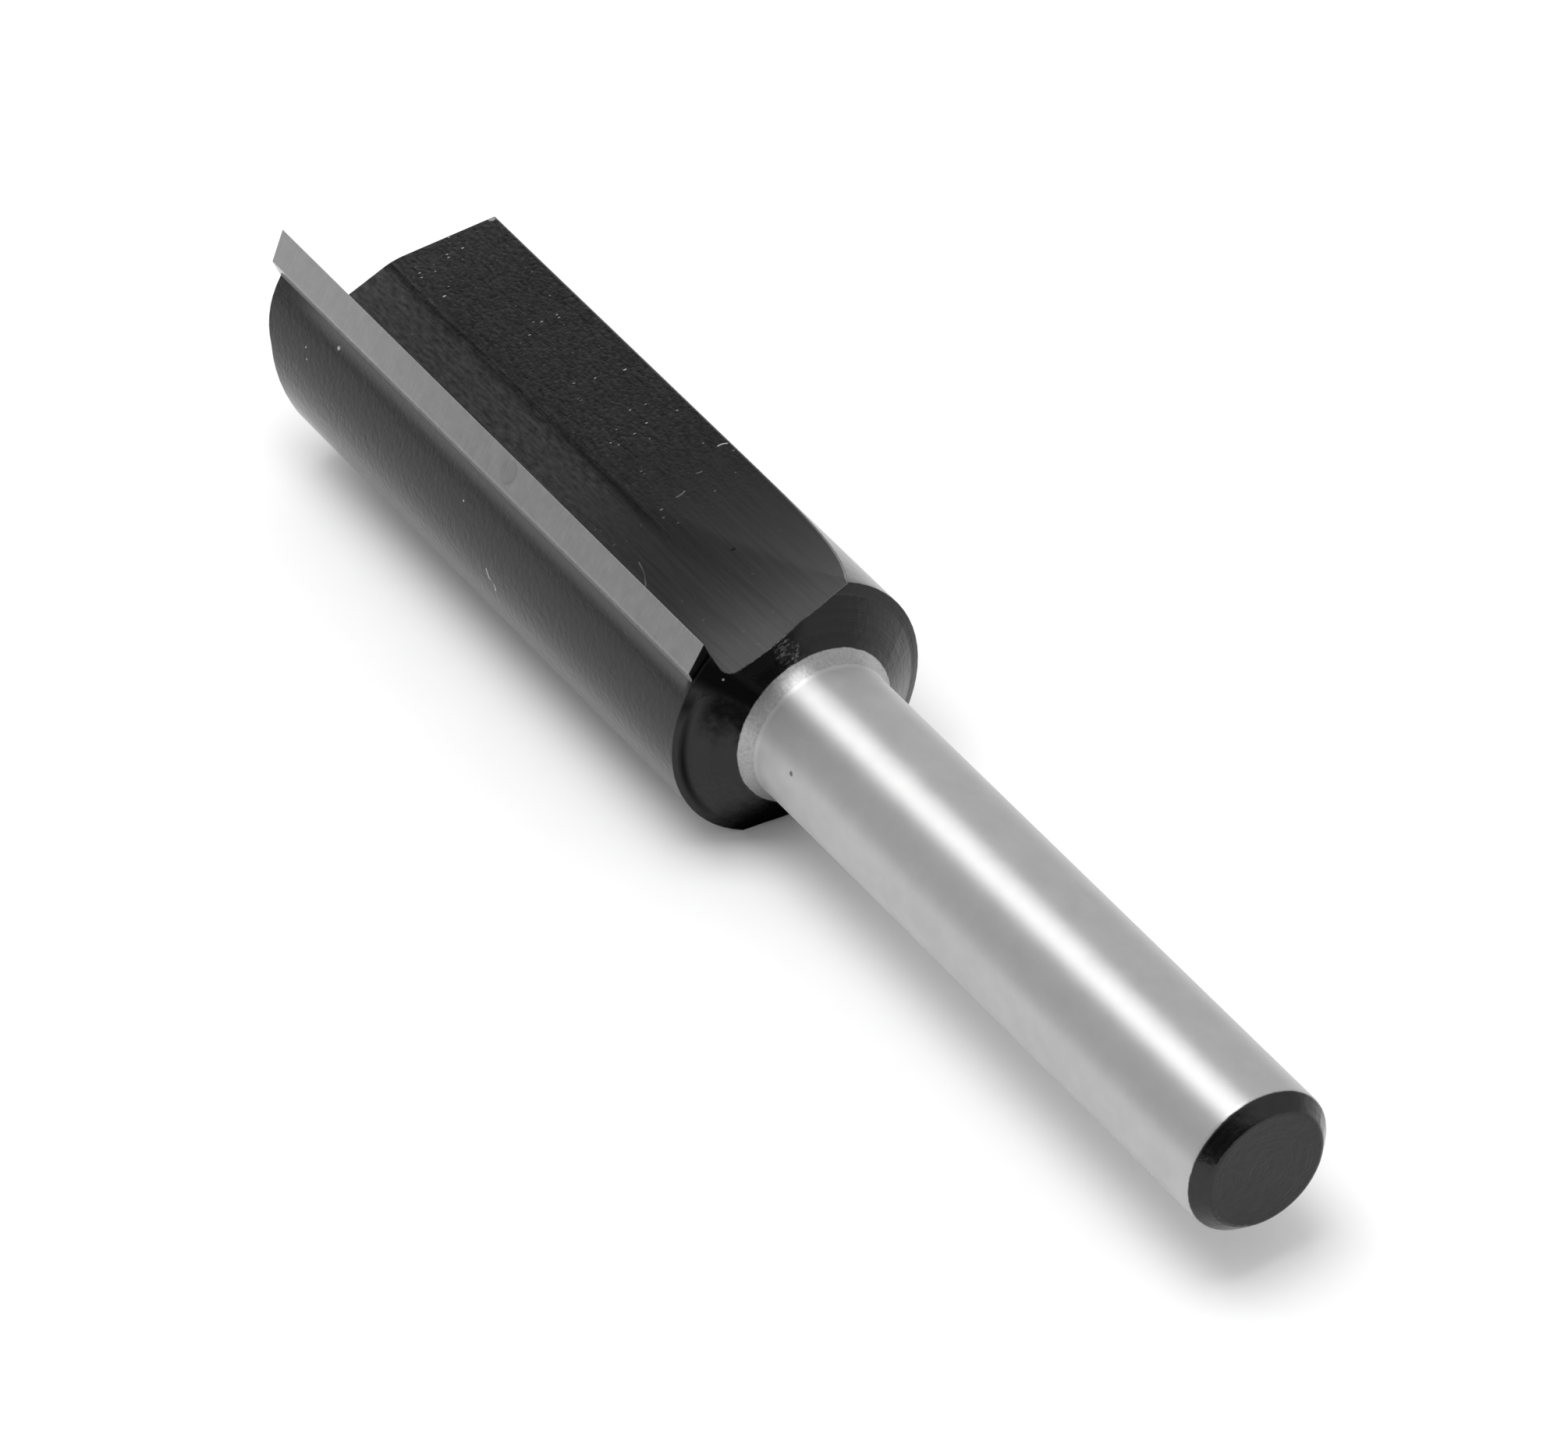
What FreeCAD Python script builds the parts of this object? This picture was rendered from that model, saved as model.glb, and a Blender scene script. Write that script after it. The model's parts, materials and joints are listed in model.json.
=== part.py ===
import FreeCAD, Part
import math
import os

import Sketcher

# Straight router bit with two flutes, lying on a flat surface.
# The bar is one piece: ground shank, fillet, conical shoulder and fluted body.
# Each tooth carries a carbide tip, brazed into a seat milled behind its gullet.
# Lengths are in millimetres and angles in degrees.
#
# Every piece is drawn in the tool's own frame: X along the tool axis with the shank
# towards +X, X = 0 at the shoulder's rim, and the upper tooth's rake face square to Y.
# The placements then lay the tool on the plane Z = 0.

SIZES = {
    # shank
    "shank_radius": 3.175,
    "shank_length": 32.77,
    "end_bevel_length": 0.65,
    "end_bevel_depth": 0.6,
    "end_rounding": 0.25,
    # shoulder
    "collar_fillet": 1.0,
    "shoulder_angle": 33.6,
    "rim_width": 0.45,
    "rim_fall": 0.2,
    # body
    "body_radius": 5.75,
    "body_length": 31.93,
    # channel across the cutting end: its depth on the axis and at its floor's two edges
    "end_channel_depth": 1.42,
    "end_channel_edge_depth": 0.7,
    "end_channel_width": 5.34,
    "end_channel_rounding": 4.4,
    # gullet, its floor square to the rake face
    "gullet_floor": 2.93,
    "gullet_corner": 0.45,
    "gullet_straight_from": 9.7,
    "gullet_wheel_radius": 36.0,
    # clearance flat that falls from the ridge beside the gullet out to the heel; the
    # overcut is how far the ridge's rounding would stand over the gullet's floor
    "ridge_offset": 0.95,
    "ridge_rounding": 3.0,
    "ridge_overcut": 0.005,
    "clearance_tilt": 19.2,
    "clearance_straight_from": 12.4,
    "clearance_wheel_radius": 40.0,
    # flat that eases the step between the two run-outs, at half the clearance's tilt
    "easing_straight_from": 10.6,
    "easing_wheel_radius": 40.0,
    # carbide tips and their braze
    "cutting_radius": 6.35,
    "hook_angle": 18.0,
    "relief_angle": 18.0,
    "end_relief_angle": 15.0,
    "carbide_length": 32.61,
    "carbide_thickness": 1.1,
    "carbide_depth": 2.5,
    "carbide_inset": 0.12,
    "braze_gap": 0.08,
    # how far a cutting outline reaches past the metal
    "cut_margin": 1.0,
}

doc = FreeCAD.newDocument("StraightRouterBit")


# Driving sizes

sheet = doc.addObject("Spreadsheet::Sheet", "Sizes")
for row, (name, value) in enumerate(SIZES.items(), start=1):
    sheet.set(f"A{row}", name)
    sheet.set(f"B{row}", str(value))
    sheet.setAlias(f"B{row}", name)
doc.recompute()


def size(expression):
    """The present value of a size or of an expression in sizes."""
    return float(sheet.evalExpression(expression))


def sized(text):
    """An expression in which each size name is written with the sheet's name before it."""
    for name in sorted(SIZES, key=len, reverse=True):
        text = text.replace(f"[{name}]", f"Sizes.{name}")
    return text


# Where the upper tooth stands: the rake face in Y, the cutting edge in Z.
RAKE_Y = sized("(-[cutting_radius] * sin([hook_angle]))")
EDGE_Z = sized("([cutting_radius] * cos([hook_angle]))")
TIP_BACK_Y = f"({RAKE_Y} - Sizes.carbide_thickness)"
TIP_FLOOR_Z = f"({EDGE_Z} - Sizes.carbide_depth)"
TIP_HEEL_Z = sized(f"({EDGE_Z} - [carbide_thickness] * tan([hook_angle] + [relief_angle]))")
SEAT_BACK_Y = f"({TIP_BACK_Y} - Sizes.braze_gap)"
SEAT_FLOOR_Z = f"({TIP_FLOOR_Z} - Sizes.braze_gap)"
OUTSIDE = sized("([cutting_radius] + [cut_margin])")

# A flat through the ridge, seen square to it: its distance from the axis, and the ridge's place.
FLAT_FLOOR = "([ridge_offset] * sin({tilt}) + [gullet_floor] * cos({tilt}))"
RIDGE_PLACE = "([ridge_offset] * cos({tilt}) - [gullet_floor] * sin({tilt}))"
CLEARANCE_TILT = sized("[clearance_tilt]")
CLEARANCE_FLOOR = sized(FLAT_FLOOR.format(tilt=CLEARANCE_TILT))
RIDGE_ACROSS = sized(RIDGE_PLACE.format(tilt=CLEARANCE_TILT))
EASING_TILT = sized("([clearance_tilt] / 2)")
EASING_FLOOR = sized(FLAT_FLOOR.format(tilt=EASING_TILT))
EASING_FROM = sized(RIDGE_PLACE.format(tilt=EASING_TILT))


# Drawing helpers

def origin_feature(body, role):
    """One of the body's own origin planes or axes."""
    return next(f for f in body.Origin.OriginFeatures if f.Role == role)


def add_sketch(body, name, plane, offset=None, tilt=None):
    """A sketch on an origin plane, shifted along its normal and turned about it where asked."""
    sketch = body.newObject("Sketcher::SketchObject", name)
    sketch.AttachmentSupport = [(origin_feature(body, plane), "")]
    sketch.MapMode = "FlatFace"
    if tilt is not None:
        turn = FreeCAD.Rotation(FreeCAD.Vector(0, 0, 1), size(tilt))
        sketch.AttachmentOffset = FreeCAD.Placement(FreeCAD.Vector(), turn)
        sketch.setExpression("AttachmentOffset.Rotation.Angle", tilt)
    if offset is not None:
        sketch.setExpression("AttachmentOffset.Base.z", offset)
    doc.recompute()
    return sketch


def hold(sketch, geometry, vertex, x=None, y=None):
    """Holds one vertex at one or two coordinates that follow the sheet."""
    for kind, place in (("DistanceX", x), ("DistanceY", y)):
        if place is None:
            continue
        rule = Sketcher.Constraint(kind, -1, 1, geometry, vertex, size(place))
        index = sketch.addConstraint(rule)
        sketch.setExpression(f"Constraints[{index}]", place)


def arc_between(start, end, centre):
    """The shorter arc about a centre, and which of its vertices lie at start and end."""
    circle = Part.Circle(centre, FreeCAD.Vector(0, 0, 1), (start - centre).Length)
    first = math.atan2(start.y - centre.y, start.x - centre.x)
    last = math.atan2(end.y - centre.y, end.x - centre.x)
    turn = (last - first + math.pi) % (2 * math.pi) - math.pi
    if turn > 0:
        return Part.ArcOfCircle(circle, first, first + turn), 1, 2
    return Part.ArcOfCircle(circle, first + turn, first), 2, 1


def draw_outline(sketch, corners):
    """A closed outline through corners, each (x, y), or (x, y, centre) where an arc sets out.

    The corner at the end of an arc is held across the arc's radius only, because the arc's
    own start and centre already give it the other direction.
    """
    spots = [FreeCAD.Vector(size(corner[0]), size(corner[1]), 0) for corner in corners]
    pieces = []
    after_arc = {}
    for number, corner in enumerate(corners):
        following = (number + 1) % len(corners)
        start, end = spots[number], spots[following]
        if len(corner) == 2:
            pieces.append((sketch.addGeometry(Part.LineSegment(start, end)), 1, 2))
            continue
        centre = FreeCAD.Vector(size(corner[2][0]), size(corner[2][1]), 0)
        arc, first, last = arc_between(start, end, centre)
        pieces.append((sketch.addGeometry(arc), first, last))
        hold(sketch, pieces[-1][0], 3, *corner[2])
        after_arc[following] = end - centre
    for here, following in zip(pieces, pieces[1:] + pieces[:1]):
        meeting = Sketcher.Constraint("Coincident", here[0], here[2], following[0], following[1])
        sketch.addConstraint(meeting)
    for number, (piece, first, _) in enumerate(pieces):
        x, y = corners[number][:2]
        if number not in after_arc:
            hold(sketch, piece, first, x, y)
        elif abs(after_arc[number].y) > abs(after_arc[number].x):
            hold(sketch, piece, first, x=x)
        else:
            hold(sketch, piece, first, y=y)


def draw_wheel_axis(sketch, height):
    """A construction line across the sketch: the axis of the wheel that mills the run-out."""
    level = size(height)
    line = Part.LineSegment(FreeCAD.Vector(0, level, 0), FreeCAD.Vector(1, level, 0))
    axis = sketch.addGeometry(line, True)
    hold(sketch, axis, 1, "0", height)
    hold(sketch, axis, 2, "1", height)
    doc.recompute()


def circular_edges(feature, x, radius):
    """Names of the feature's full circles about the tool axis at X with a radius."""
    names = []
    for number, edge in enumerate(feature.Shape.Edges, start=1):
        curve = edge.Curve
        if not isinstance(curve, Part.Circle):
            continue
        if abs(curve.Center.x - x) < 1e-4 and abs(curve.Radius - radius) < 1e-4:
            names.append(f"Edge{number}")
    return names


def round_edges(body, name, feature, edges, radius):
    """A fillet on named edges of the feature, its radius bound to a size."""
    fillet = body.newObject("PartDesign::Fillet", name)
    fillet.Base = (feature, edges)
    fillet.setExpression("Radius", radius)
    doc.recompute()
    return fillet


def cut_straight(body, name, sketch):
    """Cuts a cross-section from its sketch through the cutting end."""
    pocket = body.newObject("PartDesign::Pocket", name)
    pocket.Profile = sketch
    pocket.Type = "ThroughAll"
    doc.recompute()
    return pocket


def cut_run_out(body, name, sketch):
    """Swings a cross-section about its wheel axis, up and out towards the shank."""
    groove = body.newObject("PartDesign::Groove", name)
    groove.Profile = sketch
    groove.ReferenceAxis = (sketch, ["Axis0"])
    groove.Angle = 90
    groove.Reversed = True
    doc.recompute()
    return groove


# Bar

def make_bar():
    """Shank, shoulder and fluted body, with the seats for both carbide tips."""
    body = doc.addObject("PartDesign::Body", "fluted_bar")
    body.Label = "fluted_bar"

    collar_x = sized(
        "([rim_fall] + ([body_radius] - [rim_width] - [shank_radius]) * tan([shoulder_angle]))"
    )
    profile = add_sketch(body, "BarProfile", "XY_Plane")
    draw_outline(profile, [
        (sized("-[body_length]"), "0"),
        (sized("[shank_length]"), "0"),
        (sized("[shank_length]"), sized("[shank_radius] - [end_bevel_depth]")),
        (sized("[shank_length] - [end_bevel_length]"), sized("[shank_radius]")),
        (collar_x, sized("[shank_radius]")),
        (sized("[rim_fall]"), sized("[body_radius] - [rim_width]")),
        ("0", sized("[body_radius]")),
        (sized("-[body_length]"), sized("[body_radius]")),
    ])
    bar = body.newObject("PartDesign::Revolution", "TurnedBar")
    bar.Profile = profile
    bar.ReferenceAxis = (profile, ["H_Axis"])
    bar.Angle = 360
    doc.recompute()

    collar = circular_edges(bar, size(collar_x), size("Sizes.shank_radius"))
    filleted = round_edges(body, "CollarFillet", bar, collar, "Sizes.collar_fillet")
    bevel_start = size("Sizes.shank_length - Sizes.end_bevel_length")
    bevel_radius = size("Sizes.shank_radius - Sizes.end_bevel_depth")
    rims = circular_edges(filleted, bevel_start, size("Sizes.shank_radius"))
    rims += circular_edges(filleted, size("Sizes.shank_length"), bevel_radius)
    round_edges(body, "EndRounding", filleted, rims, "Sizes.end_rounding")

    cut_end_channel(body)
    cuts = cut_end_step(body) + cut_gullet(body) + cut_clearance(body)
    cuts += cut_easing(body) + cut_seat(body)
    both = body.newObject("PartDesign::PolarPattern", "BothTeeth")
    both.Originals = cuts
    both.Axis = (profile, ["H_Axis"])
    both.Angle = 360
    both.Occurrences = 2
    body.Tip = both
    doc.recompute()
    return body


def cut_end_channel(body):
    """A channel across the cutting end, between the pads of the two teeth.

    Its sides are rounded, and its floor falls from both sides to the tool's axis.
    """
    sketch = add_sketch(body, "EndChannelProfile", "XZ_Plane")
    face_x = sized("-[body_length]")
    floor_x = sized("-[body_length] + [end_channel_depth]")
    edge_x = sized("-[body_length] + [end_channel_edge_depth]")
    edge_z = sized("[end_channel_width] / 2")
    centre_x = sized("-[body_length] + [end_channel_rounding]")
    reach = sized("(2 * [end_channel_rounding] - [end_channel_edge_depth])")
    side = sized(f"sqrt({reach} * [end_channel_edge_depth])")
    mouth_z = f"({edge_z} + {side})"
    draw_outline(sketch, [
        (face_x, mouth_z),
        (face_x, f"-{mouth_z}", (centre_x, f"-{mouth_z}")),
        (edge_x, f"-{edge_z}"),
        (floor_x, "0"),
        (edge_x, edge_z, (centre_x, mouth_z)),
    ])
    channel = body.newObject("PartDesign::Pocket", "EndChannel")
    channel.Profile = sketch
    channel.SideType = "Symmetric"
    channel.Type = "ThroughAll"
    doc.recompute()


def cut_end_step(body):
    """Carries the channel's floor out to the gullet, in front of the rake face."""
    sketch = add_sketch(body, "EndStepProfile", "XY_Plane")
    face_x = sized("-[body_length]")
    floor_x = sized("-[body_length] + [end_channel_depth]")
    draw_outline(sketch, [
        (face_x, RAKE_Y),
        (floor_x, RAKE_Y),
        (floor_x, OUTSIDE),
        (face_x, OUTSIDE),
    ])
    step = cut_straight(body, "EndStep", sketch)
    step.Reversed = True
    doc.recompute()
    return [step]


def cut_clearance(body):
    """The flat from the rounded ridge out to the heel, with its run-out."""
    sketch = add_sketch(
        body, "ClearanceProfile", "YZ_Plane",
        offset=sized("-[clearance_straight_from]"), tilt=f"-{CLEARANCE_TILT}",
    )
    ridge_half = sized("([ridge_rounding] * tan([clearance_tilt] / 2))")
    overcut = sized("([ridge_overcut] / sin([clearance_tilt]))")
    flat_from = f"({RIDGE_ACROSS} + {ridge_half} - {overcut})"
    round_from = sized(f"({flat_from} - [ridge_rounding] * sin([clearance_tilt]))")
    centre_z = sized(f"({CLEARANCE_FLOOR} - [ridge_rounding])")
    round_z = sized(f"({centre_z} + [ridge_rounding] * cos([clearance_tilt]))")
    draw_outline(sketch, [
        (flat_from, CLEARANCE_FLOOR),
        (OUTSIDE, CLEARANCE_FLOOR),
        (OUTSIDE, OUTSIDE),
        (round_from, OUTSIDE),
        (round_from, round_z, (flat_from, centre_z)),
    ])
    draw_wheel_axis(sketch, sized(f"({CLEARANCE_FLOOR} + [clearance_wheel_radius])"))
    return [cut_straight(body, "Clearance", sketch), cut_run_out(body, "ClearanceRunOut", sketch)]


def cut_easing(body):
    """A shallow run-out over the ridge that eases the gullet's into the clearance's."""
    sketch = add_sketch(
        body, "EasingProfile", "YZ_Plane",
        offset=sized("-[easing_straight_from]"), tilt=f"-{EASING_TILT}",
    )
    draw_outline(sketch, [
        (EASING_FROM, EASING_FLOOR),
        (OUTSIDE, EASING_FLOOR),
        (OUTSIDE, OUTSIDE),
        (EASING_FROM, OUTSIDE),
    ])
    draw_wheel_axis(sketch, sized(f"({EASING_FLOOR} + [easing_wheel_radius])"))
    return [cut_run_out(body, "EasingRunOut", sketch)]


def cut_gullet(body):
    """The gullet in front of the rake face, with a rounded corner and its run-out."""
    sketch = add_sketch(body, "GulletProfile", "YZ_Plane", offset=sized("-[gullet_straight_from]"))
    corner_y = sized(f"({RAKE_Y} + [gullet_corner])")
    corner_z = sized("([gullet_floor] + [gullet_corner])")
    floor_z = sized("[gullet_floor]")
    draw_outline(sketch, [
        (RAKE_Y, OUTSIDE),
        (RAKE_Y, corner_z, (corner_y, corner_z)),
        (corner_y, floor_z),
        (OUTSIDE, floor_z),
        (OUTSIDE, OUTSIDE),
    ])
    draw_wheel_axis(sketch, sized("[gullet_floor] + [gullet_wheel_radius]"))
    return [cut_straight(body, "Gullet", sketch), cut_run_out(body, "GulletRunOut", sketch)]


def cut_seat(body):
    """The open seat for a carbide tip, as wide and deep as the tip and its braze."""
    sketch = add_sketch(body, "SeatProfile", "YZ_Plane", offset=sized("-[carbide_inset]"))
    draw_outline(sketch, [
        (SEAT_BACK_Y, SEAT_FLOOR_Z),
        (RAKE_Y, SEAT_FLOOR_Z),
        (RAKE_Y, OUTSIDE),
        (SEAT_BACK_Y, OUTSIDE),
    ])
    return [cut_straight(body, "Seat", sketch)]


# Carbide tips

def make_tip(name):
    """A carbide tip: a flat bar with ground relief behind its side and end cutting edges."""
    body = doc.addObject("PartDesign::Body", name)
    body.Label = name
    section = add_sketch(body, f"{name}_section", "YZ_Plane", offset=sized("-[carbide_inset]"))
    draw_outline(section, [
        (RAKE_Y, EDGE_Z),
        (TIP_BACK_Y, TIP_HEEL_Z),
        (TIP_BACK_Y, TIP_FLOOR_Z),
        (RAKE_Y, TIP_FLOOR_Z),
    ])
    bar = body.newObject("PartDesign::Pad", f"{name}_bar")
    bar.Profile = section
    bar.Reversed = True
    bar.setExpression("Length", "Sizes.carbide_length")
    doc.recompute()

    end_x = sized("-[carbide_inset] - [carbide_length]")
    relief = add_sketch(body, f"{name}_relief", "XY_Plane")
    back_y = f"({TIP_BACK_Y} - Sizes.cut_margin)"
    fall = sized("([carbide_thickness] + [cut_margin]) * tan([end_relief_angle])")
    draw_outline(relief, [
        (end_x, RAKE_Y),
        (end_x, back_y),
        (f"{end_x} + {fall}", back_y),
    ])
    ground = body.newObject("PartDesign::Pocket", f"{name}_end_relief")
    ground.Profile = relief
    ground.SideType = "Symmetric"
    ground.Type = "ThroughAll"
    body.Tip = ground
    doc.recompute()
    return body


# Braze

def make_braze(name):
    """The braze between a tip and its seat: under the tip, behind it and up to the land."""
    body = doc.addObject("PartDesign::Body", name)
    body.Label = name
    section = add_sketch(body, f"{name}_section", "YZ_Plane", offset=sized("-[carbide_inset]"))
    land_z = f"sqrt(Sizes.body_radius ^ 2 - {SEAT_BACK_Y} ^ 2)"
    draw_outline(section, [
        (RAKE_Y, SEAT_FLOOR_Z),
        (RAKE_Y, TIP_FLOOR_Z),
        (TIP_BACK_Y, TIP_FLOOR_Z),
        (TIP_BACK_Y, f"{land_z} + Sizes.braze_gap"),
        (SEAT_BACK_Y, land_z),
        (SEAT_BACK_Y, SEAT_FLOOR_Z),
    ])
    layer = body.newObject("PartDesign::Pad", f"{name}_layer")
    layer.Profile = section
    layer.Reversed = True
    layer.setExpression("Length", "Sizes.body_length - Sizes.carbide_inset")
    doc.recompute()
    return body


# Resting place

def resting_pose(bar):
    """Lays the tool on its lower cutting edge and on the heel of the bar beside it."""
    edge_y = -size(RAKE_Y)
    edge_z = -size(EDGE_Z)
    points = [point for edge in bar.Shape.Edges for point in edge.discretize(25)]
    tilt = min(math.atan2(p.z - edge_z, edge_y - p.y) for p in points if p.y < edge_y)
    height = -edge_y * math.sin(tilt) - edge_z * math.cos(tilt)
    middle = size("(Sizes.shank_length - Sizes.carbide_inset - Sizes.carbide_length) / 2")
    turn = FreeCAD.Rotation(FreeCAD.Vector(1, 0, 0), math.degrees(tilt))
    return FreeCAD.Placement(FreeCAD.Vector(-middle, 0, height), turn)


half_turn = FreeCAD.Placement(FreeCAD.Vector(), FreeCAD.Rotation(FreeCAD.Vector(1, 0, 0), 180))

bar = make_bar()
upper_tip = make_tip("carbide_tip_a")
lower_tip = make_tip("carbide_tip_b")
upper_braze = make_braze("braze_a")
lower_braze = make_braze("braze_b")

pose = resting_pose(bar)
for piece in (bar, upper_tip, upper_braze):
    piece.Placement = pose
for piece in (lower_tip, lower_braze):
    piece.Placement = pose.multiply(half_turn)
doc.recompute()


# Checks and files

for item in doc.Objects:
    if "Invalid" in item.State or "Error" in item.State:
        raise RuntimeError(f"{item.Name} did not rebuild: {item.State}")

os.makedirs("parts", exist_ok=True)
for piece in (bar, upper_tip, lower_tip, upper_braze, lower_braze):
    shape = piece.Shape
    if shape.isNull() or not shape.isValid() or len(shape.Solids) != 1:
        raise RuntimeError(f"{piece.Label} is not one sound solid")
    shape.exportStep(f"parts/{piece.Label}.step")
    box = shape.BoundBox
    print(
        f"{piece.Label}: {shape.Volume:.2f} mm3, "
        f"X {box.XMin:.3f} {box.XMax:.3f}, Y {box.YMin:.3f} {box.YMax:.3f}, "
        f"Z {box.ZMin:.3f} {box.ZMax:.3f}"
    )
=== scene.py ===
import json
import math
from types import SimpleNamespace

import bpy
from mathutils import Matrix, Quaternion, Vector


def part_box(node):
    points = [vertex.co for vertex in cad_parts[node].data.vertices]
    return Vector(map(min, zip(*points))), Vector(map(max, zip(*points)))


# Straight router bit on a pale floor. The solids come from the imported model, and this
# script gives them their finishes, the studio and the camera.
# Materials are written in the tool's own frame in millimetres: X along the tool's axis
# with the shank towards +X, and X = 0 at the shoulder's rim.

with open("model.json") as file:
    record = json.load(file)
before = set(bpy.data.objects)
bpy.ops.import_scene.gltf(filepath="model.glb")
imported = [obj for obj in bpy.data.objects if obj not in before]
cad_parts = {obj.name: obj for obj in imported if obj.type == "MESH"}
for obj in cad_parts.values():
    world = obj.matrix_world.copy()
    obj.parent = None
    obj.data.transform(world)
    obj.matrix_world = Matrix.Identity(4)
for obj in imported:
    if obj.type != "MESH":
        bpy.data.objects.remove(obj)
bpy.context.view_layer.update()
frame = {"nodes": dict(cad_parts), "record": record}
scene = bpy.context.scene

MM = 0.001

# Sizes of the solids in mm, and angles in degrees
SHANK_LENGTH = 32.77
BODY_RADIUS = 5.75
RIM_WIDTH = 0.45
RIM_FALL = 0.2
SHOULDER_ANGLE = 33.6

# Turn about the axis, in degrees, at which the tool lies on the floor
TILT = 19.5582

# Angle about the axis, in radians, at which the tip's seat cuts the land
SEAT_TURN = 2.1489

# The tool frame's origin in mm: the bar's end and the shank's mount give its place
SHANK_END_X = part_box("fluted_bar")[1][0] / MM
SHANK_MOUNT = frame["record"]["mounts"][0]["pos_m"]
AXIS_PLACE = (SHANK_END_X - SHANK_LENGTH, SHANK_MOUNT[1] / MM, SHANK_MOUNT[2] / MM)

# Borders of the finishes, as X in mm: where the coating, the unground ring behind it and
# the ground steel end
COAT_END = 1.348
RING_END = 1.93
GROUND_END = 32.14

# X at which the cutters' run-outs begin, and X at which they are full
RUN_OUT = (-16.0, -6.0)

# The ridge across the gullet: its middle, half width and softness in mm
RIDGE = (0.72, 0.22, 0.40)

# Rounding of the bar's and the tips' edges, and of the crease between the run-outs, in mm
BAR_ROUNDING = 0.07
TIP_ROUNDING = 0.06
CREASE_ROUNDING = 0.72

# How much light each surface reflects, from 0 to 1
REFLECTS = {
    "gullet": 0.038,
    "gullet run-out": 0.027,
    "clearance": 0.0185,
    "clearance run-out": 0.021,
    "land": 0.042,
    "shoulder": 0.026,
    "shank end": 0.036,
    # dark patches at the shoulder, with painted shade below the axis
    "dark_and_painted_shade": 0.006,
    "dust": 0.55,
    # painted highlight beside the seat
    "painted highlight by the seat": 0.080,
    # worn edges, and the painted highlight above the shank
    "worn edge and painted highlight": 0.14,
    "ground steel": 0.49,
    "unground ring": 0.37,
    "tip at the front": 0.325,
    "tip at the shoulder": 0.25,
    "tip's coated end": 0.012,
    "braze": 0.15,
}

# How rough each surface is
ROUGHNESS = {
    "flats": 0.26,
    "run-out": 0.24,
    "land": 0.22,
    "shoulder": 0.18,
    # dark patches at the shoulder, with painted shade below the axis
    "dark_and_painted_shade": 0.55,
    "ground steel": 0.32,
    "unground ring": 0.42,
    "tip": 0.36,
    "braze": 0.3,
}

# How much each pattern varies what the flats reflect
CONTRAST = {
    "rows": 1.9,
    "drawn": 1.25,
    "pebbles": 2.0,
}

# Depth of each relief in the coating, in mm
RELIEF = {
    "pebbles": 0.045,
    "rows": 0.024,
    "drawn": 0.004,
    "furrows": 0.02,
    "waves": 0.011,
    "peel": 0.02,
    "rings": 0.018,
}

# Dark, dull patches at the shoulder, and painted shade below the axis where it reflects the
# shaded floor under the tool: middle, half width and softness of each patch, as angles about
# the axis in radians
DARK_BESIDE_TIP = (2.26, 0.18, 0.26)
DARK_AT_RIM = (2.32, 0.06, 0.16)
PAINTED_SHADE_BELOW = (-2.20, 0.45, 0.32)
DARK_ON_TOOTH = (2.03, 0.13, 0.08)
DARK_ALONG_RIM = (0.30, 0.45, 0.5)

# The same three numbers in mm: the height and side of the dark patch under the gullet's end, and
# the radius of the dark band along the rim
UNDER_GULLET_HEIGHT = (4.75, 0.10, 0.30)
UNDER_GULLET_SIDE = (-0.4, 1.8, 1.2)
RIM_DARK_RADIUS = (5.38, 0.13, 0.13)

# Dust: the spacing of its grid in mm, a speck's largest size, and the share of the grid
# that holds one
FINE_DUST = (0.22, 0.027, 0.38)
COARSE_DUST = (0.5, 0.036, 0.42)
STRAY_DUST = (1.9, 0.035, 0.25)

# Pale specks on the coating, the knocked corner and the burr: place, radius, strength
COAT_SPOTS = (
    ((-26.83, -3.55, 4.52), 0.11, 0.6),
    ((-28.79, -4.35, 3.76), 0.06, 0.5),
    ((-28.55, -4.61, 3.43), 0.06, 0.4),
    ((-16.34, -4.26, 3.86), 0.06, 0.6),
    ((-30.50, 5.42, 1.36), 0.24, 0.45),
    ((0.46, -2.10, 4.43), 0.07, 0.45),
)

# Hairs on the coating: the two ends, the bow at the middle, and strength
FIBRES = (
    ((-12.30, 5.10, 1.49), (-12.22, 5.46, 1.36), (-0.05, 0.0, 0.0), 0.65),
    ((-11.35, 3.57, 2.03), (-11.32, 3.80, 1.95), (0.03, 0.0, 0.0), 0.15),
    ((-10.51, 2.21, 2.54), (-10.66, 2.65, 2.38), (0.04, 0.0, 0.0), 0.20),
    ((-14.12, -5.28, 2.26), (-13.92, -5.39, 1.97), (0.02, 0.0, 0.01), 0.80),
    ((-13.92, -5.39, 1.97), (-13.48, -5.46, 1.80), (-0.01, -0.01, 0.05), 0.70),
    ((-13.48, -5.46, 1.80), (-13.49, -5.52, 1.62), (0.04, 0.0, 0.0), 0.70),
    ((-8.59, -0.85, 2.95), (-7.31, -1.35, 3.01), (0.0, 0.08, 0.0), 0.12),
)
FIBRE_WIDTH = 0.045

# Dark dots on the clearance and on the shank
CLEARANCE_DOT = (-5.95, 2.21, 3.045)
SHANK_DOT = (4.41, -2.43, 2.05)
DOT_RADIUS = 0.14

# Painted highlight: a bright streaky patch on the shoulder above the shank
PAINTED_HIGHLIGHT_SPOT = (1.05, 0.58, 3.92)
PAINTED_HIGHLIGHT_RADIUS = 0.65

# Round stain on the upper tip's relief
STAIN = (-14.36, -2.46, 5.66)
STAIN_RADIUS = 0.50


# Node helpers

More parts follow.
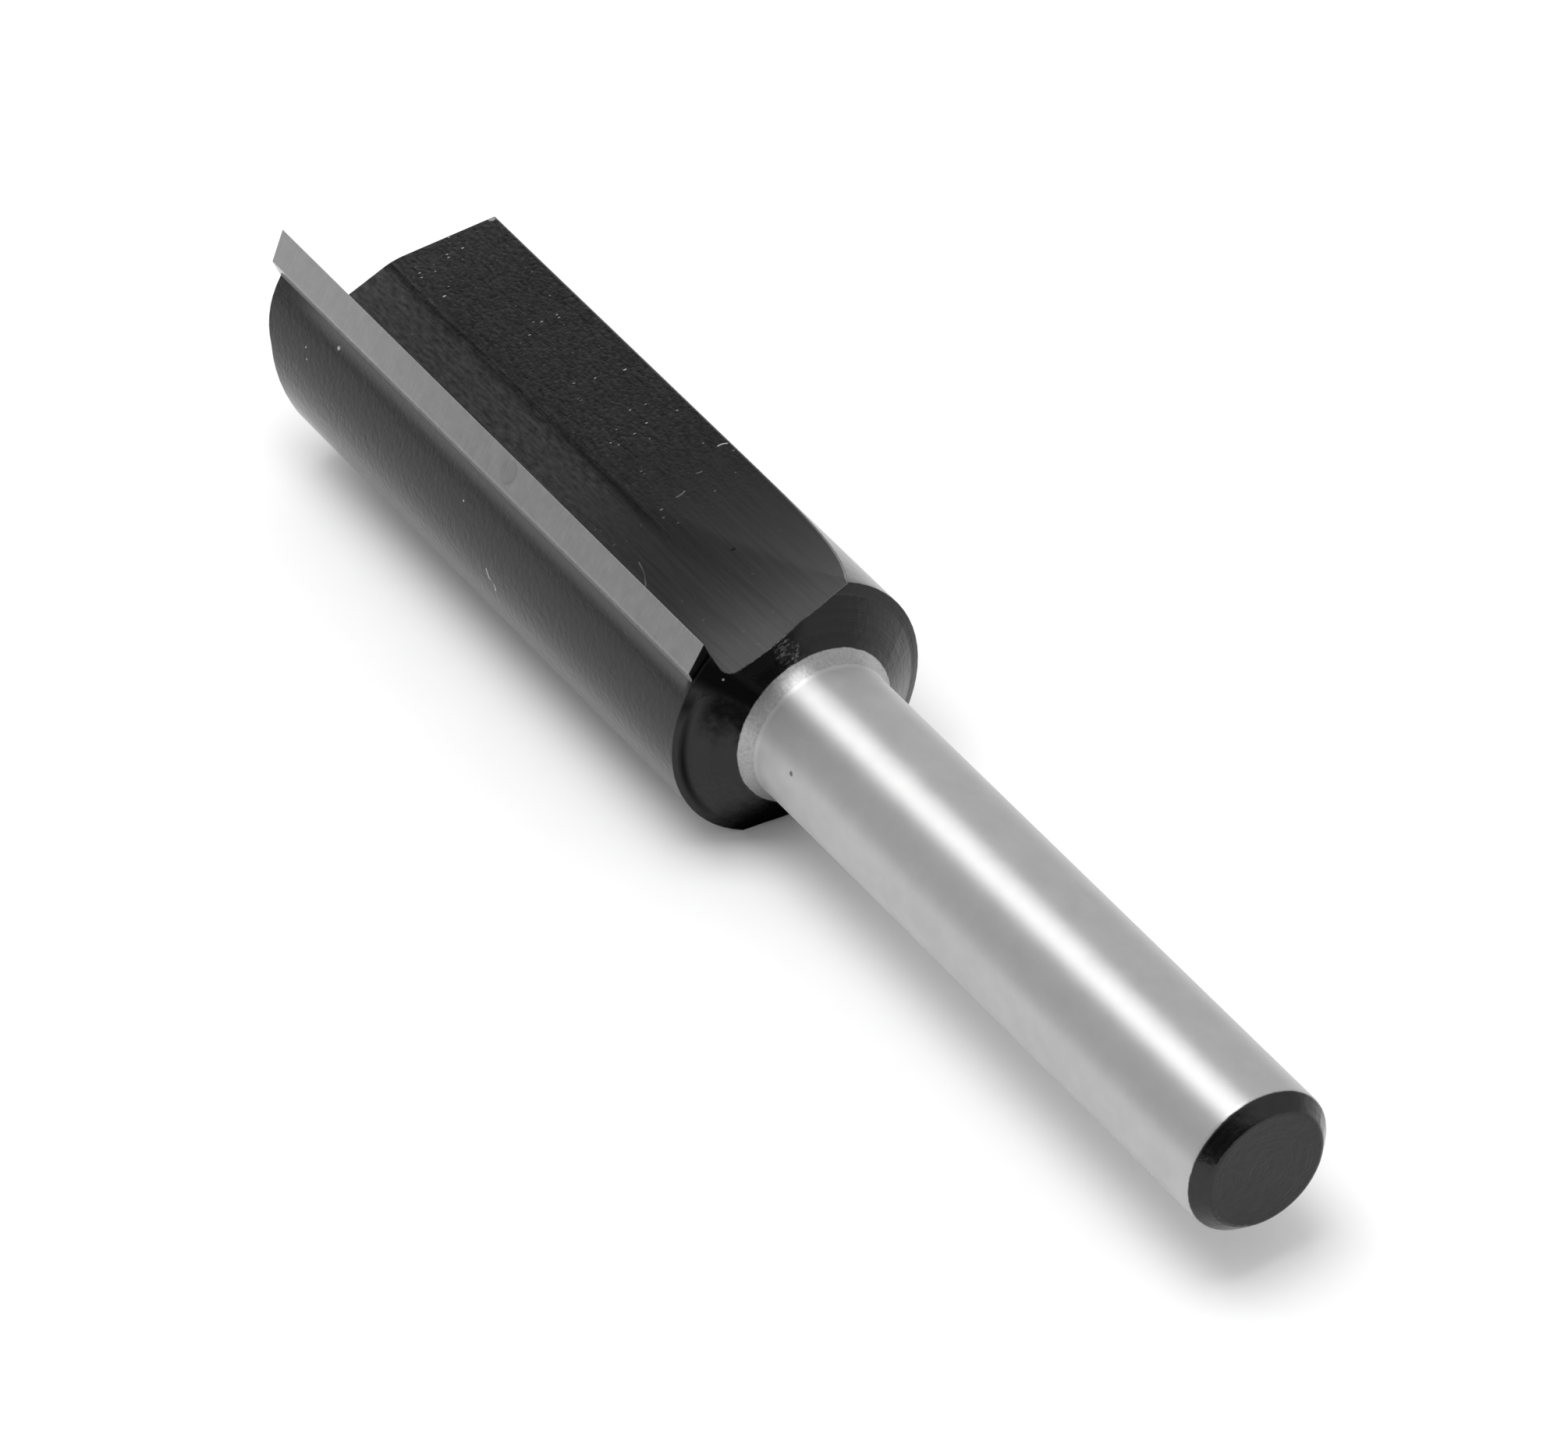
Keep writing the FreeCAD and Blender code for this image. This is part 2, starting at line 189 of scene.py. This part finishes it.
class Tree:
    """A node tree with short calls for the nodes that the materials share."""

    def __init__(self, tree):
        self.tree = tree
        tree.nodes.clear()

    def node(self, kind, links=None, **settings):
        """A node with its settings, and its inputs linked or set."""
        made = self.tree.nodes.new(kind)
        for name, value in settings.items():
            setattr(made, name, value)
        for socket, value in (links or {}).items():
            self.feed(made.inputs[socket], value)
        return made

    def feed(self, socket, value):
        """An input linked to a node or to a socket, or set to a value."""
        if isinstance(value, bpy.types.NodeSocket):
            self.tree.links.new(value, socket)
        elif isinstance(value, bpy.types.Node):
            self.tree.links.new(value.outputs[0], socket)
        else:
            socket.default_value = value

    def math(self, operation, a, b=0.0, c=0.0):
        links = {0: a, 1: b, 2: c}
        return self.node("ShaderNodeMath", links, operation=operation).outputs[0]

    def add(self, a, b):
        return self.math("ADD", a, b)

    def sub(self, a, b):
        return self.math("SUBTRACT", a, b)

    def mul(self, first, *others):
        """All the values multiplied."""
        for value in others:
            first = self.math("MULTIPLY", first, value)
        return first

    def mad(self, a, b, c):
        """a times b, plus c."""
        return self.math("MULTIPLY_ADD", a, b, c)

    def most(self, first, *others):
        """The largest of the values."""
        for value in others:
            first = self.math("MAXIMUM", first, value)
        return first

    def vary(self, base, pattern, amount):
        """A base that a pattern from 0 to 1 moves up and down by half the amount."""
        return self.mad(self.sub(pattern, 0.5), amount, base)

    def outside(self, mask):
        return self.sub(1.0, mask)

    def step(self, value, low, high, out_low=0.0, out_high=1.0):
        """A smooth step of value from low to high."""
        links = {0: value, 1: low, 2: high, 3: out_low, 4: out_high}
        made = self.node("ShaderNodeMapRange", links, interpolation_type="SMOOTHSTEP")
        return made.outputs[0]

    def band(self, value, middle, half, soft):
        """One inside middle +- half and zero outside it, with soft borders."""
        off = self.math("ABSOLUTE", self.sub(value, middle))
        return self.step(off, half + soft, half - soft)

    def mix(self, share, a, b):
        """A number from a to b."""
        made = self.node("ShaderNodeMix", data_type="FLOAT")
        self.feed(made.inputs[0], share)
        self.feed(made.inputs[2], a)
        self.feed(made.inputs[3], b)
        return made.outputs[0]

    def grey(self, value):
        """A number as a neutral colour."""
        return self.node("ShaderNodeCombineColor", {0: value, 1: value, 2: value}).outputs[0]

    def vector(self, x, y, z=0.0):
        return self.node("ShaderNodeCombineXYZ", {0: x, 1: y, 2: z}).outputs[0]

    def stretched(self, *axes):
        """A place for a noise: each axis is a value and the noise's detail along it."""
        return self.vector(*(self.mul(value, detail) for value, detail in axes))

    def vector_math(self, operation, a, b):
        return self.node("ShaderNodeVectorMath", {0: a, 1: b}, operation=operation).outputs

    def moved(self, a, b):
        return self.vector_math("ADD", a, b)["Vector"]

    def dot(self, a, b):
        return self.vector_math("DOT_PRODUCT", a, b)["Value"]

    def distance(self, a, b):
        return self.vector_math("DISTANCE", a, b)["Value"]

    def scaled(self, vector, factor):
        links = {0: vector, "Scale": factor}
        return self.node("ShaderNodeVectorMath", links, operation="SCALE").outputs[0]

    def noise(self, place, scale, detail=2.0, roughness=0.5):
        links = {"Vector": place, "Scale": scale, "Detail": detail, "Roughness": roughness}
        return self.node("ShaderNodeTexNoise", links).outputs[0]

    def bump(self, height, depth, below=None):
        """A bump whose heights, from 0 to 1, are depth millimetres deep."""
        links = {"Height": height, "Distance": depth * MM, "Strength": 1.0}
        if below is not None:
            links["Normal"] = below
        return self.node("ShaderNodeBump", links).outputs[0]

    def principled(self, **values):
        links = {name.replace("_", " "): value for name, value in values.items()}
        return self.node("ShaderNodeBsdfPrincipled", links)

    def output(self, shader):
        self.node("ShaderNodeOutputMaterial", {0: shader})


def material(name):
    made = bpy.data.materials.new(name)
    made.use_nodes = True
    return made, Tree(made.node_tree)


def tool_place(t):
    """The place in the tool's frame: a vector and X, Y, Z and radius in mm, and the angle."""
    vector = t.node(
        "ShaderNodeMapping",
        {
            "Vector": t.node("ShaderNodeTexCoord").outputs["Object"],
            "Location": [c * MM for c in AXIS_PLACE],
            "Rotation": (math.radians(TILT), 0.0, 0.0),
            "Scale": (MM, MM, MM),
        },
        vector_type="TEXTURE",
    ).outputs[0]
    x, y, z = t.node("ShaderNodeSeparateXYZ", {0: vector}).outputs
    radius = t.math("SQRT", t.add(t.mul(y, y), t.mul(z, z)))
    angle = t.math("ARCTAN2", z, y)
    return SimpleNamespace(vector=vector, x=x, y=y, z=z, radius=radius, angle=angle)


def specks(t, place, spacing, size, share):
    """Small dots: one in some of the cells of a grid of points, their size in mm."""
    cells = t.node("ShaderNodeTexVoronoi", {"Vector": place, "Scale": 1.0 / spacing}).outputs
    chance, width = t.node("ShaderNodeSeparateColor", {0: cells["Color"]}).outputs[:2]
    chosen = t.step(chance, 1.0 - share - 0.001, 1.0 - share)
    reach = t.mad(width, 0.7 * size / spacing, 0.3 * size / spacing)
    inside = t.step(t.sub(cells["Distance"], reach), 0.25 * size / spacing, 0.0)
    return t.mul(chosen, inside)


def mark(t, place, spot, radius):
    """One ragged dot at a spot of the tool's frame."""
    raggedness = t.noise(place, 0.6 / radius)
    away = t.vary(t.distance(place, spot), raggedness, 1.4 * radius)
    return t.step(away, radius, 0.6 * radius)


def fibre(t, place, start, end, bow):
    """One thin hair that lies bowed between two spots of the tool's frame."""
    start = Vector(start)
    run = Vector(end) - start
    offset = t.moved(place, -start)
    share = t.node("ShaderNodeClamp", {0: t.dot(offset, run / run.length_squared)}).outputs[0]
    arch = t.mul(share, t.outside(share), 4.0)
    line = t.moved(t.scaled(run, share), t.scaled(Vector(bow), arch))
    return t.step(t.distance(offset, line), FIBRE_WIDTH, 0.4 * FIBRE_WIDTH)


def edge_rounding(t, width):
    """The normal rounded over the edges, and one at an edge, zero away from it; width in metres."""
    rounded = t.node("ShaderNodeBevel", {"Radius": width}, samples=6).outputs[0]
    flat = t.node("ShaderNodeNewGeometry").outputs["Normal"]
    return rounded, t.step(t.dot(rounded, flat), 0.98, 0.88)


# Bar: black coating over the body and the shank's end, ground steel between

# In these functions t is the material's tree, p the place on the tool, a the bar's areas
# and n the coating's patterns.

def bar_areas(t, p):
    """The bar's surfaces as masks from 0 to 1, and places along them in mm."""
    # the tool is the same after half a turn, so both teeth are painted as the upper one
    across = t.mul(p.y, t.math("SIGN", p.z))
    height = t.math("ABSOLUTE", p.z)
    turn = t.math("ARCTAN2", height, across)

    land = t.mul(
        t.step(p.radius, BODY_RADIUS - 0.07, BODY_RADIUS - 0.02),
        t.step(p.x, 0.0, -0.05),
    )

    # the shoulder falls gently over its rim, then as a cone
    rim_slope = RIM_FALL / RIM_WIDTH
    cone_slope = math.tan(math.radians(SHOULDER_ANGLE))
    cone_radius = BODY_RADIUS - RIM_WIDTH
    surface = t.most(
        t.mad(p.radius, -rim_slope, BODY_RADIUS * rim_slope),
        t.mad(p.radius, -cone_slope, RIM_FALL + cone_radius * cone_slope),
    )
    shoulder = t.mul(t.step(p.x, -0.03, 0.03), t.step(t.sub(p.x, surface), -0.08, -0.03))

    # anywhere on the bare steel parts the shoulder from the shank's coated end
    shank_end = t.step(p.x, 20.0, 21.0)
    run_out = t.step(p.x, *RUN_OUT)
    seat_edge = t.mul(t.sub(turn, SEAT_TURN), BODY_RADIUS)
    return SimpleNamespace(
        across=across,
        height=height,
        turn=turn,
        land=land,
        shoulder=shoulder,
        shank_end=shank_end,
        flats=t.mul(t.outside(land), t.outside(shoulder)),
        run_out=run_out,
        clearance=t.step(across, 0.6, 1.4),
        ridge=t.mul(t.band(across, *RIDGE), t.step(p.x, -5.0, -12.0)),
        pitted=t.mul(t.outside(run_out), t.mix(t.step(across, -0.2, 1.5), 0.33, 1.0)),
        seat_edge=seat_edge,
        seat_line=t.mul(land, t.step(seat_edge, 0.30, 0.12)),
    )


def bar_edges(t, p, a):
    """The normal rounded over the bar's edges, and a mask of the edges that wear."""
    # the wheels' run-outs meet in a soft crease, the other edges are sharp
    crease = t.mul(
        t.step(p.x, -13.0, -11.0),
        t.step(p.x, -0.5, -1.2),
        t.step(p.radius, 5.3, 4.8),
        t.step(a.across, -0.8, 0.0),
    )
    width = t.mix(crease, BAR_ROUNDING * MM, CREASE_ROUNDING * MM)
    width = t.mul(width, t.outside(a.seat_line))
    rounded, edge = edge_rounding(t, width)
    return rounded, t.mul(edge, t.outside(crease))


def coat_patterns(t, p, a):
    """Patterns of the coating, each from 0 to 1: their detail is given per mm."""
    n = SimpleNamespace()
    n.peel = t.noise(p.vector, 3.0, 3.0, 0.55)

    # on the flats: pebbles, rows of dashes and, in the run-outs, drawn lines
    pebbles = t.stretched((p.x, 4.8), (a.across, 6.2), (a.height, 5.6))
    n.pebbles = t.noise(pebbles, 1.0, 2.0, 0.55)
    rows = t.stretched((p.x, 1.6), (a.across, 7.0), (a.height, 1.0))
    n.rows = t.noise(rows, 1.0, 2.0, 0.6)
    drawn = t.stretched((p.x, 0.16), (t.mad(p.x, 0.02, a.across), 6.0))
    n.drawn = t.noise(drawn, 1.0, 3.0, 0.7)

    # furrows beside the ridge, bent by the peel
    furrows = t.vector(t.mul(p.x, 0.13), t.mad(a.across, 4.6, t.mul(n.peel, 0.6)))
    n.furrows = t.mul(a.ridge, t.step(t.noise(furrows, 1.0, 3.0, 0.65), 0.38, 0.50))

    # waves on the land, bent by the peel, that fade towards the shoulder
    bend = t.mul(n.peel, 0.8)
    waves = t.vector(t.mad(p.x, 7.0, bend), t.mad(a.turn, 16.0, bend))
    fading = t.step(p.x, -4.0, -24.0, 0.45, 1.15)
    n.waves = t.vary(0.5, t.noise(waves, 1.0, 3.0, 0.6), fading)

    # turning marks on the shoulder
    rings = t.stretched((p.radius, 5.0), (p.angle, 0.7), (p.x, 0.5))
    n.rings = t.noise(rings, 1.0, 4.0, 0.7)
    return n


def coat_relief(t, a, n):
    """Height of the coating in mm, from the areas and the patterns."""
    peel = t.mul(n.peel, RELIEF["peel"])
    relief = t.mad(n.pebbles, RELIEF["pebbles"], t.mul(n.rows, RELIEF["rows"]))
    relief = t.mul(a.pitted, relief)
    relief = t.mad(t.mul(n.drawn, a.run_out), RELIEF["drawn"], relief)
    relief = t.mad(n.furrows, -RELIEF["furrows"], relief)
    relief = t.mix(a.land, relief, t.mad(n.waves, RELIEF["waves"], peel))
    return t.mix(a.shoulder, relief, t.mad(n.rings, RELIEF["rings"], peel))


def coat_dark_and_painted_shade(t, p, a):
    """Dark, dull patches at the shoulder, and painted shade below the axis."""
    ragged = t.vary(p.angle, t.noise(p.vector, 2.2, 4.0, 0.65), 0.6)
    beside_tip = t.mul(t.band(ragged, *DARK_BESIDE_TIP), t.step(p.radius, 5.3, 4.6))
    at_rim = t.mul(t.band(p.angle, *DARK_AT_RIM), t.step(p.radius, 5.2, 5.5))
    # painted shade: below the axis the shoulder reflects the shaded floor under the tool
    below = t.mul(t.band(t.mix(0.5, p.angle, ragged), *PAINTED_SHADE_BELOW), 0.85)
    under_gullet = t.mul(
        t.band(t.mad(ragged, 0.3, p.z), *UNDER_GULLET_HEIGHT),
        t.band(p.y, *UNDER_GULLET_SIDE),
        0.8,
    )
    left_angle = t.math("ARCTAN2", p.z, t.mul(p.y, -1.0))
    along_rim = t.mul(
        t.band(p.radius, *RIM_DARK_RADIUS),
        t.band(left_angle, *DARK_ALONG_RIM),
        0.85,
    )
    # the dark patches, with the painted shade below the axis
    dark_and_painted_shade = t.most(beside_tip, below, under_gullet, along_rim, at_rim)
    dark_and_painted_shade = t.mul(dark_and_painted_shade, a.shoulder, t.outside(a.shank_end))
    tooth_end = t.mul(
        t.band(p.angle, *DARK_ON_TOOTH),
        t.step(p.x, -0.4, -0.2),
        t.outside(a.flats),
        t.outside(a.shank_end),
    )
    return t.most(dark_and_painted_shade, tooth_end)


def coat_dust(t, p, a):
    """Pale dust in the gullet, stray specks, hairs and knocks."""
    clusters = t.step(t.noise(p.vector, 0.55, 2.0, 0.6), 0.40, 0.58)
    long = t.vector(p.x, t.mul(p.y, 0.3), p.z)
    fine = specks(t, long, *FINE_DUST)
    coarse = specks(t, t.moved(long, (3.1, 0.0, 0.0)), *COARSE_DUST)
    share = t.mix(a.run_out, t.mad(a.clearance, 0.35, 0.25), 0.08)
    dust = t.mul(t.most(fine, coarse), clusters, a.flats, share)
    stray = specks(t, t.moved(p.vector, (7.7, 0.0, 0.0)), *STRAY_DUST)
    dust = t.most(dust, t.mul(stray, t.mad(a.land, 0.5, 0.1)))
    for spot, radius, strength in COAT_SPOTS:
        dust = t.most(dust, t.mul(mark(t, p.vector, spot, radius), strength))
    for start, end, bow, strength in FIBRES:
        dust = t.most(dust, t.mul(fibre(t, p.vector, start, end, bow), strength))
    return dust


def coat_bright(t, p, a, edge):
    """Where the coating is worn from the edges, and a painted highlight above the shank."""
    wear = t.mul(
        edge,
        t.step(t.noise(p.vector, 5.0, 4.0, 0.7), 0.50, 0.62),
        t.mad(a.shoulder, -0.5, 1.0),
        t.step(a.across, -3.0, -1.0),
    )
    streaks = t.noise(t.stretched((p.x, 8.0), (p.y, 4.0), (p.z, 10.0)), 1.0, 3.0, 0.7)
    # painted highlight: a bright streaky patch on the shoulder above the shank
    painted_highlight = t.mul(
        mark(t, p.vector, PAINTED_HIGHLIGHT_SPOT, PAINTED_HIGHLIGHT_RADIUS),
        t.step(streaks, 0.46, 0.74),
        a.shoulder,
        2.0,
    )
    return t.mul(t.most(wear, painted_highlight), REFLECTS["worn edge and painted highlight"])


def coat_reflectance(t, p, a, n, dark_and_painted_shade):
    """How much light the coating reflects, less in the dark patches and the painted shade."""
    level = t.mix(
        a.clearance,
        t.mix(a.run_out, REFLECTS["gullet"], REFLECTS["gullet run-out"]),
        t.mix(a.run_out, REFLECTS["clearance"], REFLECTS["clearance run-out"]),
    )

    # lighter towards the front end, and varied by the patterns
    level = t.mul(level, t.step(p.x, -26.0, -31.0, 1.0, 1.3))
    contrast = t.mix(a.run_out, CONTRAST["rows"], CONTRAST["drawn"])
    grain = t.vary(1.0, t.mix(a.run_out, n.rows, n.drawn), contrast)
    grain = t.vary(grain, n.pebbles, t.mul(a.pitted, CONTRAST["pebbles"]))
    level = t.mul(level, t.most(grain, 0.1))
    level = t.mul(level, t.outside(t.mad(a.ridge, 0.15, t.mul(n.furrows, 0.65))))
    level = t.mix(a.land, level, t.vary(REFLECTS["land"], n.waves, 0.022))
    level = t.mix(a.shoulder, level, t.mad(n.rings, 0.016, REFLECTS["shoulder"]))
    level = t.mix(a.shank_end, level, t.mad(n.peel, 0.01, REFLECTS["shank end"]))

    # painted highlight: a lighter band on the land beside the seat, the tail of the lamp's
    # reflection
    painted_highlight_by_seat = t.mul(
        a.land,
        t.step(a.seat_edge, 0.75, 0.05),
        t.step(p.x, 0.0, -0.4),
        t.step(p.x, -31.5, -27.5),
    )
    level = t.mad(painted_highlight_by_seat, REFLECTS["painted highlight by the seat"], level)
    level = t.mul(level, t.mad(mark(t, p.vector, CLEARANCE_DOT, DOT_RADIUS), -0.85, 1.0))
    # darker and duller in the dark patches and the painted shade below the axis
    return t.mix(dark_and_painted_shade, level, REFLECTS["dark_and_painted_shade"])


def coat_roughness(t, a, n, dark_and_painted_shade):
    rough = t.mix(a.run_out, ROUGHNESS["flats"], ROUGHNESS["run-out"])
    rough = t.mix(a.land, rough, ROUGHNESS["land"])
    rough = t.mix(a.shoulder, rough, ROUGHNESS["shoulder"])
    return t.mix(dark_and_painted_shade, t.vary(rough, n.peel, 0.08), ROUGHNESS["dark_and_painted_shade"])


def coating(t, p):
    """Black coating: dark patches and painted shade dull it, and dust covers its gloss."""
    a = bar_areas(t, p)
    n = coat_patterns(t, p, a)
    rounded, edge = bar_edges(t, p, a)
    dark_and_painted_shade = coat_dark_and_painted_shade(t, p, a)
    dust = coat_dust(t, p, a)
    level = coat_reflectance(t, p, a, n, dark_and_painted_shade)
    level = t.add(level, coat_bright(t, p, a, edge))
    shader = t.principled(
        Base_Color=t.grey(t.mix(dust, level, REFLECTS["dust"])),
        Metallic=t.outside(dust),
        Roughness=coat_roughness(t, a, n, dark_and_painted_shade),
        # the dark patches and the painted shade reflect less
        Specular_Tint=t.grey(t.mad(dark_and_painted_shade, -0.85, 1.0)),
        Normal=t.bump(coat_relief(t, a, n), 1.0, below=rounded),
    )
    return shader, rounded


def steel(t, p, rounded):
    """Ground steel, and the duller unground ring beside the coating."""
    border = t.vary(p.x, t.noise(p.vector, 2.5), 0.12)
    ring = t.step(border, RING_END + 0.06, RING_END - 0.02)
    speckle = t.noise(p.vector, 8.0, 3.0, 0.6)
    mottle = t.noise(t.vector(t.mul(p.x, 0.8), p.y, p.z), 0.9, 3.0, 0.55)
    scratches = t.noise(t.stretched((p.x, 30.0), (p.angle, 1.2)), 1.0, 2.0, 0.6)
    colour = t.mix(
        ring,
        t.vary(REFLECTS["ground steel"], mottle, 0.16),
        t.vary(REFLECTS["unground ring"], speckle, 0.28),
    )
    rough = t.mad(mottle, 0.16, t.mad(scratches, 0.06, ROUGHNESS["ground steel"]))
    height = t.mix(ring, t.mul(scratches, 0.0008), t.mul(speckle, 0.007))
    return t.principled(
        Base_Color=t.grey(colour),
        Metallic=1.0,
        Roughness=t.mix(ring, rough, ROUGHNESS["unground ring"]),
        Normal=t.bump(height, 1.0, below=rounded),
        Anisotropic=0.9,
        Anisotropic_Rotation=0.25,
        Tangent=t.node("ShaderNodeTangent", direction_type="RADIAL", axis="X"),
    )


def bar_material():
    made, t = material("bar_coated_steel")
    p = tool_place(t)
    coat, rounded = coating(t, p)
    border = t.vary(p.x, t.noise(p.vector, 2.5, 3.0, 0.55), 0.06)
    bare = t.mul(
        t.step(border, COAT_END - 0.02, COAT_END + 0.02),
        t.step(border, GROUND_END + 0.03, GROUND_END - 0.03),
        t.mad(mark(t, p.vector, SHANK_DOT, DOT_RADIUS), -0.7, 1.0),
    )
    t.output(t.node("ShaderNodeMixShader", {0: bare, 1: coat, 2: steel(t, p, rounded)}))
    return made


# Carbide: matte grey with fine marks across the relief

def carbide_material():
    made, t = material("carbide_ground")
    p = tool_place(t)
    rounded, edge = edge_rounding(t, TIP_ROUNDING * MM)
    marks = t.noise(t.stretched((p.x, 9.0), (p.y, 0.9), (p.z, 0.9)), 1.0, 3.0, 0.6)
    grain = t.noise(p.vector, 16.0, 2.0, 0.6)
    clouds = t.noise(p.vector, 1.6, 3.0, 0.6)
    along = t.step(p.x, -32.0, -14.0)
    base = t.mix(along, REFLECTS["tip at the front"], REFLECTS["tip at the shoulder"])
    base = t.vary(base, grain, 0.05)
    base = t.vary(base, marks, 0.07)
    base = t.vary(base, clouds, 0.07)

    # the stain's rim is darker on the side of the shank
    away = t.distance(p.vector, STAIN)
    rim = t.mul(
        t.band(away, STAIN_RADIUS, 0.05, 0.08),
        t.step(p.x, STAIN[0] - 0.3, STAIN[0] + 0.2),
    )
    spot = t.step(away, STAIN_RADIUS + 0.06, STAIN_RADIUS - 0.06)
    base = t.mul(base, t.outside(t.mad(rim, 0.17, t.mul(spot, 0.11))))
    # painted highlight along the tip's edges
    base = t.mad(edge, 0.06, base)

    # the tip's back stands proud of the body and catches the light
    across = t.mul(p.y, t.math("SIGN", p.z))
    back = t.mul(t.step(across, -2.7, -2.9), t.step(p.radius, 6.08, 6.04))
    base = t.mad(back, 0.20, base)

    # the coating runs over the end beside the shoulder
    base = t.mix(t.step(p.x, -0.17, -0.15), base, REFLECTS["tip's coated end"])
    height = t.mad(marks, 0.5, t.mul(grain, 0.3))
    t.output(t.principled(
        Base_Color=t.grey(base),
        Metallic=1.0,
        Roughness=t.mad(marks, 0.12, ROUGHNESS["tip"]),
        Normal=t.bump(height, 0.008, below=rounded),
    ))
    return made


# Braze: a thin grey line beside the tip

def braze_material():
    made, t = material("braze_coated")
    lumps = t.noise(tool_place(t).vector, 5.0, 3.0, 0.6)
    t.output(t.principled(
        Base_Color=t.grey(t.vary(REFLECTS["braze"], lumps, 0.10)),
        Metallic=1.0,
        Roughness=t.mad(lumps, 0.2, ROUGHNESS["braze"]),
        Normal=t.bump(lumps, 0.02),
    ))
    return made


def dress():
    """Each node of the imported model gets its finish."""
    bar = bar_material()
    carbide = carbide_material()
    braze = braze_material()
    finishes = {
        "fluted_bar": bar,
        "carbide_tip_a": carbide,
        "carbide_tip_b": carbide,
        "braze_a": braze,
        "braze_b": braze,
    }
    for name, finish in finishes.items():
        for slot in frame["nodes"][name].material_slots:
            slot.material = finish


# Floor, surroundings and lamp: places and sizes in metres

FLOOR_SIDE = 6.0
FLOOR_GREY = 0.90
FLOOR_LIFT = 0.02

# Light from all round, and where it is brighter or darker: the direction, the angles in
# degrees from it at which the change starts and is full, and the change
SURROUND = 0.80
PATCHES = (
    ((-1.0, 0.0, 0.15), 25.0, 4.0, 1.2),
    ((0.9, -0.35, 0.22), 50.0, 15.0, -0.70),
    ((-0.66, 0.42, 0.62), 50.0, 15.0, 0.14),
)

LAMP_PLACE = (-0.05, -0.067, 0.6)
LAMP_AIM = (0.0, 0.0, 0.0)
LAMP_WIDTH = 0.33
LAMP_DEPTH = 0.40
LAMP_RADIANCE = 4.8

WHITE = (1.0, 1.0, 1.0, 1.0)


def floor():
    half = FLOOR_SIDE / 2
    mesh = bpy.data.meshes.new("floor")
    corners = [(-half, -half, 0.0), (half, -half, 0.0), (half, half, 0.0), (-half, half, 0.0)]
    mesh.from_pydata(corners, [], [(0, 1, 2, 3)])
    made = bpy.data.objects.new("floor", mesh)
    scene.collection.objects.link(made)
    mesh.materials.append(paper_material())


def paper_material():
    """Pale paper that the camera and glossy surfaces see a little brighter."""
    made, t = material("floor_paper")
    fibres = t.noise(t.node("ShaderNodeTexCoord").outputs["Object"], 400.0, 3.0, 0.6)
    paper = t.principled(Base_Color=t.grey(t.vary(FLOOR_GREY, fibres, 0.02)), Roughness=0.9)
    path = t.node("ShaderNodeLightPath").outputs
    seen = t.most(path["Is Camera Ray"], path["Is Glossy Ray"], path["Is Transmission Ray"])
    lift = t.node("ShaderNodeEmission", {"Color": WHITE, "Strength": t.mul(seen, FLOOR_LIFT)})
    t.output(t.node("ShaderNodeAddShader", {0: paper, 1: lift}))
    return made


def surroundings():
    """Soft walls of light: brighter behind the cutting end, dark where the camera stands."""
    world = bpy.data.worlds.new("studio")
    world.use_nodes = True
    scene.world = world
    t = Tree(world.node_tree)
    way = t.node("ShaderNodeTexCoord").outputs["Generated"]
    level = SURROUND
    for direction, start, full, change in PATCHES:
        dot = t.dot(way, Vector(direction).normalized())
        patch = t.step(dot, math.cos(math.radians(start)), math.cos(math.radians(full)))
        level = t.mad(patch, change, level)
    level = t.mix(t.node("ShaderNodeLightPath").outputs["Is Camera Ray"], level, 1.0)
    light = t.node("ShaderNodeBackground", {"Color": WHITE, "Strength": level})
    t.node("ShaderNodeOutputWorld", {0: light})


def softbox():
    lamp = bpy.data.lights.new("overhead", "AREA")
    lamp.shape = "RECTANGLE"
    lamp.size = LAMP_WIDTH
    lamp.size_y = LAMP_DEPTH
    lamp.energy = math.pi * LAMP_WIDTH * LAMP_DEPTH * LAMP_RADIANCE
    made = bpy.data.objects.new("overhead", lamp)
    scene.collection.objects.link(made)
    made.location = LAMP_PLACE
    made.rotation_mode = "QUATERNION"
    made.rotation_quaternion = (Vector(LAMP_AIM) - Vector(LAMP_PLACE)).to_track_quat("-Z", "Y")


# Camera, fitted to the photograph: places in mm, angles in degrees

# It aims at a point at the height of the tool's axis
CAMERA_AIM = (0.41977, -0.83263, 5.034)
CAMERA_DISTANCE = 405.98961
CAMERA_AZIMUTH = -30.019398
CAMERA_ELEVATION = 40.541618
CAMERA_ROLL = -3.775037
SENSOR_WIDTH = 36.0
FOCAL_LENGTH = 236.588


def photo_camera():
    lens = bpy.data.cameras.new("camera")
    lens.sensor_fit = "HORIZONTAL"
    lens.sensor_width = SENSOR_WIDTH
    lens.lens = FOCAL_LENGTH
    lens.clip_start = 0.01
    lens.clip_end = 50.0
    made = bpy.data.objects.new("camera", lens)
    scene.collection.objects.link(made)
    azimuth = math.radians(CAMERA_AZIMUTH)
    elevation = math.radians(CAMERA_ELEVATION)
    back = Vector((
        math.cos(elevation) * math.cos(azimuth),
        math.cos(elevation) * math.sin(azimuth),
        math.sin(elevation),
    ))
    place = (Vector(CAMERA_AIM) + CAMERA_DISTANCE * back) * MM
    level = (-back).to_track_quat("-Z", "Y")
    roll = Quaternion((0.0, 0.0, 1.0), math.radians(CAMERA_ROLL))
    made.matrix_world = Matrix.Translation(place) @ (level @ roll).to_matrix().to_4x4()
    scene.camera = made


dress()
floor()
surroundings()
softbox()
photo_camera()
scene.view_settings.view_transform = "Standard"
